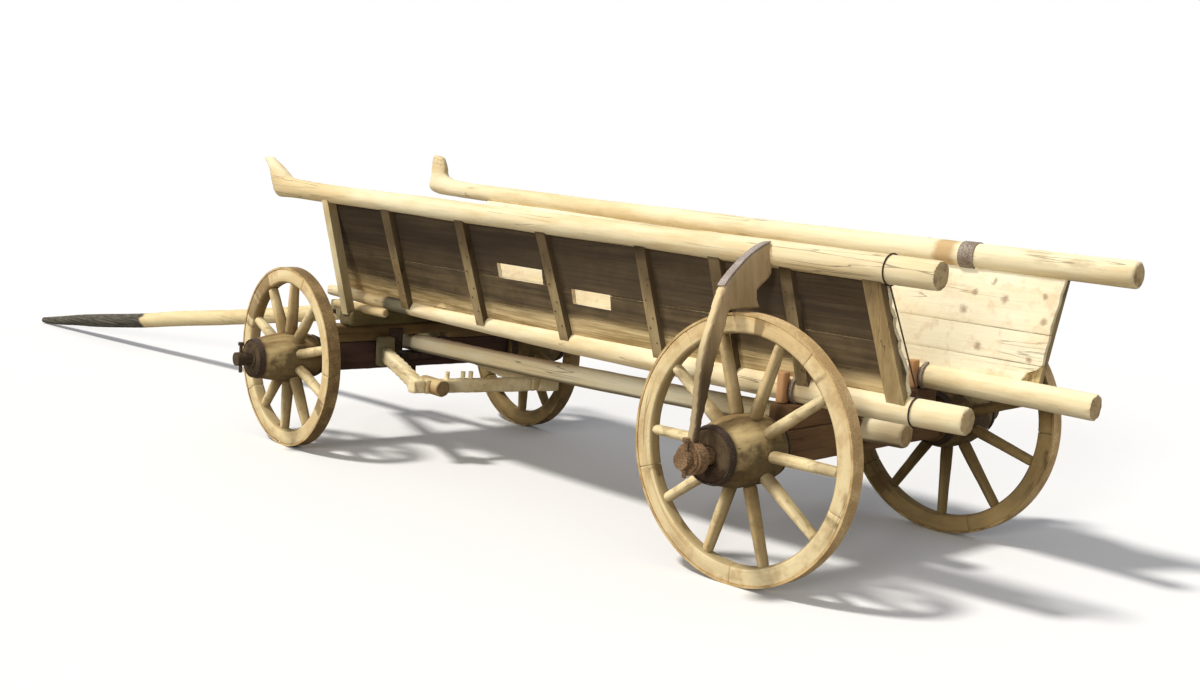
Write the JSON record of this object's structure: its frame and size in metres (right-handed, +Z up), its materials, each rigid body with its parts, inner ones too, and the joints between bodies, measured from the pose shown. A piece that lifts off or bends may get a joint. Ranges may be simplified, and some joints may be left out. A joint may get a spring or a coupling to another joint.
{
  "type": "bullock cart",
  "caption": "Long timber bullock cart with a narrow boarded body between pole rails, spoked wheels on wooden axles, a turning fore-carriage and a draught pole resting on the ground.",
  "frame": {"origin": "on the ground, at the middle of the cart's whole length and width", "axes": "+X forward along the draught pole, +Y to the cart's left, +Z up"},
  "size_m": [7.655, 2.1, 1.3854],
  "materials": {
    "rail_wood": "bare sun-bleached pole timber",
    "board_wood": "bare weathered boards, grey-brown outside",
    "batten_wood": "bare weathered hewn timber",
    "wheel_wood": "bare bleached wheel timber",
    "nave_wood": "bare dark greased wood",
    "axle_wood": "bare dark weathered timber",
    "pole_wood": "bare peeled pole, grey-black towards its tip",
    "tyre_iron": "rusty worn iron",
    "rusty_iron": "rusty forged iron",
    "strap_iron": "worn grey forged iron"
  },
  "bodies": {
    "bed": {"battens_left": "batten_wood", "battens_right": "batten_wood", "bed_bearers": "board_wood", "bed_boards": "board_wood", "bolster_stakes": "axle_wood", "end_post_left": "batten_wood", "end_post_right": "batten_wood", "front_bolster": "axle_wood", "front_standards": "batten_wood", "kingpin": "rusty_iron", "lower_rail_left": "rail_wood", "lower_rail_right": "rail_wood", "packing_logs": "rail_wood", "perch_pole": "rail_wood", "prop_rings": "rusty_iron", "prop_straps": "strap_iron", "rail_bands": "rusty_iron", "rear_axle_arms": "rusty_iron", "rear_axle_beam": "axle_wood", "rear_bolster": "axle_wood", "rear_linch_pins": "rusty_iron", "rear_washers": "rusty_iron", "side_boards_left": "board_wood", "side_boards_right": "board_wood", "side_prop_left": "batten_wood", "side_prop_right": "batten_wood", "stay_wire": "rusty_iron", "top_rail_left": "rail_wood", "top_rail_right": "rail_wood"},
    "fore_carriage": {"front_axle_arms": "rusty_iron", "front_axle_beam": "axle_wood", "front_linch_pins": "rusty_iron", "front_washers": "rusty_iron", "hounds": "rail_wood", "lower_bolster": "axle_wood", "pole_pin": "rusty_iron", "sway_bar": "rail_wood", "sway_pegs": "rail_wood", "sway_tail_pin": "rail_wood"},
    "pole": {"draught_pole": "pole_wood"},
    "wheel_rear_left": {"rear_left_felloes": "wheel_wood", "rear_left_nave": "nave_wood", "rear_left_nave_bands": "tyre_iron", "rear_left_spokes": "wheel_wood", "rear_left_tyre": "tyre_iron"},
    "wheel_rear_right": {"rear_right_felloes": "wheel_wood", "rear_right_nave": "nave_wood", "rear_right_nave_bands": "tyre_iron", "rear_right_spokes": "wheel_wood", "rear_right_tyre": "tyre_iron"},
    "wheel_front_left": {"front_left_felloes": "wheel_wood", "front_left_nave": "nave_wood", "front_left_nave_bands": "tyre_iron", "front_left_spokes": "wheel_wood", "front_left_tyre": "tyre_iron"},
    "wheel_front_right": {"front_right_felloes": "wheel_wood", "front_right_nave": "nave_wood", "front_right_nave_bands": "tyre_iron", "front_right_spokes": "wheel_wood", "front_right_tyre": "tyre_iron"}
  },
  "joints": [
    {"name": "rear_left_wheel_turn", "type": "hinge", "parent": "bed", "child": "wheel_rear_left", "pos_m": [-2.9675, 0.6985, 0.5], "axis": [0, 1, 0], "continuous": true},
    {"name": "rear_right_wheel_turn", "type": "hinge", "parent": "bed", "child": "wheel_rear_right", "pos_m": [-2.9675, -0.6985, 0.5], "axis": [0, 1, 0], "continuous": true},
    {"name": "front_left_wheel_turn", "type": "hinge", "parent": "fore_carriage", "child": "wheel_front_left", "pos_m": [-0.20012, 0.69236, 0.427], "axis": [0.1323, 0.9912, 0], "continuous": true},
    {"name": "front_right_wheel_turn", "type": "hinge", "parent": "fore_carriage", "child": "wheel_front_right", "pos_m": [-0.38488, -0.69236, 0.427], "axis": [0.1323, 0.9912, 0], "continuous": true},
    {"name": "fore_carriage_steer", "type": "hinge", "parent": "bed", "child": "fore_carriage", "pos_m": [-0.2925, 0, 0.5], "axis": [0, 0, 1], "range_deg": [-17.4, 32.6]},
    {"name": "pole_lift", "type": "hinge", "parent": "fore_carriage", "child": "pole", "pos_m": [0.30223, -0.07935, 0.548], "axis": [-0.1323, -0.9912, 0], "range_deg": [0, 30]}
  ]
}
